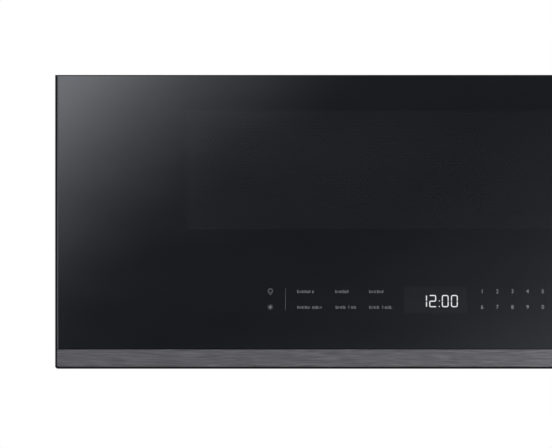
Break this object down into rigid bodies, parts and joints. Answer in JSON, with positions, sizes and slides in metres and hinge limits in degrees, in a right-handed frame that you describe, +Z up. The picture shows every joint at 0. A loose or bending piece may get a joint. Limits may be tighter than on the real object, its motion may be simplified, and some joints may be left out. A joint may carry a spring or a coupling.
{
  "type": "over the range microwave",
  "caption": "Wide low-profile microwave oven with a full-width glass door, touch controls, turntable and built-in extractor hood",
  "frame": {"origin": "centre of the wall plate's back face, which lies against the wall, at the middle of the oven's width and height", "axes": "+X to the right seen from the front, +Y into the wall, +Z up; the door faces -Y"},
  "size_m": [0.759, 0.464, 0.2644],
  "materials": {
    "black_glass": "polished black printed safety glass",
    "dark_steel": "horizontally brushed dark stainless steel",
    "dark_plastic": "moulded, fine texture",
    "panel_plastic": "moulded, satin",
    "painted_steel": "dark powder coat",
    "zinc_steel": "galvanised sheet",
    "enamel": "baked grey enamel",
    "stainless": "bright drawn steel",
    "aluminium": "plain sheet",
    "clear_glass": "clear",
    "lens_plastic": "frosted lens",
    "white_plastic": "moulded",
    "circuit_board": "solder resist",
    "mica": "pressed mica sheet",
    "charcoal": "granules in a net",
    "copper": "enamelled winding wire",
    "core_steel": "varnished laminated steel",
    "rubber": "moulded"
  },
  "bodies": {
    "chassis": {"wall_plate": "zinc_steel", "rear_panel": "zinc_steel", "outer_wrap": "painted_steel", "base_pan": "painted_steel", "front_frame": "painted_steel", "vent_grille": "dark_plastic", "charcoal_filter": "charcoal", "cord_bushing": "rubber", "cavity": "enamel", "waveguide": "zinc_steel", "waveguide_cover": "mica", "magnetron": "aluminium", "bay_tray": "zinc_steel", "transformer_core": "core_steel", "transformer_winding": "copper", "capacitor": "aluminium", "power_board": "circuit_board", "cooling_fan_shroud": "zinc_steel", "cooling_fan_motor": "core_steel", "latch_body": "white_plastic", "upper_switch": "dark_plastic", "lower_switch": "dark_plastic", "blower_scroll_left": "white_plastic", "blower_scroll_right": "white_plastic", "blower_motor": "core_steel", "hinge_upper": "zinc_steel", "hinge_lower": "zinc_steel", "hinge_pin_upper": "stainless", "hinge_pin_lower": "stainless", "lamp_lens_left": "lens_plastic", "lamp_board_left": "white_plastic", "lamp_lens_right": "lens_plastic", "lamp_board_right": "white_plastic", "turntable_motor": "zinc_steel"},
    "door": {"door_bezel": "dark_plastic", "door_glass": "black_glass", "trim_strip": "dark_steel", "choke_panel": "painted_steel", "inner_window": "clear_glass", "door_inner_panel": "panel_plastic", "touch_board": "circuit_board", "display_module": "dark_plastic", "latch_spring": "stainless"},
    "latch": {"latch_hooks": "white_plastic"},
    "upper_button": {"upper_switch_button": "white_plastic"},
    "lower_button": {"lower_switch_button": "white_plastic"},
    "tray_drive": {"drive_coupler": "white_plastic"},
    "tray": {"glass_tray": "clear_glass"},
    "ring": {"roller_ring": "white_plastic"},
    "ring_roller_1": {"roller_1": "white_plastic"},
    "ring_roller_2": {"roller_2": "white_plastic"},
    "ring_roller_3": {"roller_3": "white_plastic"},
    "blower_rotor": {"blower_shaft": "stainless", "blower_wheel_left": "dark_plastic", "blower_wheel_right": "dark_plastic"},
    "cooling_rotor": {"cooling_fan": "white_plastic"},
    "left_filter": {"filter_frame_left": "aluminium", "filter_mesh_left": "aluminium"},
    "right_filter": {"filter_frame_right": "aluminium", "filter_mesh_right": "aluminium"}
  },
  "joints": [
    {"name": "door_swing", "type": "hinge", "parent": "chassis", "child": "door", "pos_m": [-0.3695, -0.443, 0], "axis": [0, 0, -1], "range_deg": [0, 100]},
    {"name": "latch_lift", "type": "slide", "parent": "door", "child": "latch", "axis": [0, 0, 1], "range_m": [0, 0.004], "stiffness_N_per_m": 150, "deforming": ["latch_spring"]},
    {"name": "upper_button_press", "type": "slide", "parent": "chassis", "child": "upper_button", "axis": [0, 1, 0], "range_m": [0, 0.001], "stiffness_N_per_m": 200},
    {"name": "lower_button_press", "type": "slide", "parent": "chassis", "child": "lower_button", "axis": [0, 1, 0], "range_m": [0, 0.001], "stiffness_N_per_m": 200},
    {"name": "tray_turn", "type": "hinge", "parent": "chassis", "child": "tray_drive", "pos_m": [-0.0495, -0.263, 0], "axis": [0, 0, 1], "continuous": true},
    {"name": "tray_lift", "type": "slide", "parent": "tray_drive", "child": "tray", "axis": [0, 0, 1], "range_m": [0, 0.06]},
    {"name": "ring_turn", "type": "hinge", "parent": "chassis", "child": "ring", "pos_m": [-0.0495, -0.263, 0], "axis": [0, 0, 1], "continuous": true},
    {"name": "roller_1_turn", "type": "hinge", "parent": "ring", "child": "ring_roller_1", "pos_m": [0.0485, -0.263, -0.0407], "axis": [1, 0, 0], "continuous": true},
    {"name": "roller_2_turn", "type": "hinge", "parent": "ring", "child": "ring_roller_2", "pos_m": [-0.0985, -0.17813, -0.0407], "axis": [-0.5, 0.866, 0], "continuous": true},
    {"name": "roller_3_turn", "type": "hinge", "parent": "ring", "child": "ring_roller_3", "pos_m": [-0.0985, -0.34787, -0.0407], "axis": [-0.5, -0.866, 0], "continuous": true},
    {"name": "blower_spin", "type": "hinge", "parent": "chassis", "child": "blower_rotor", "pos_m": [-0.0495, -0.05105, 0.0839], "axis": [1, 0, 0], "continuous": true},
    {"name": "cooling_spin", "type": "hinge", "parent": "chassis", "child": "cooling_rotor", "pos_m": [0.3039, -0.09, -0.0035], "axis": [0, 1, 0], "continuous": true},
    {"name": "left_filter_drop", "type": "slide", "parent": "chassis", "child": "left_filter", "axis": [0, 0, -1], "range_m": [0, 0.06]},
    {"name": "right_filter_drop", "type": "slide", "parent": "chassis", "child": "right_filter", "axis": [0, 0, -1], "range_m": [0, 0.06]}
  ],
  "couplings": [
    {"joint": "ring_turn", "follows": "tray_turn", "ratio": 0.5},
    {"joint": "roller_1_turn", "follows": "tray_turn", "ratio": -6.125},
    {"joint": "roller_2_turn", "follows": "tray_turn", "ratio": -6.125},
    {"joint": "roller_3_turn", "follows": "tray_turn", "ratio": -6.125}
  ]
}
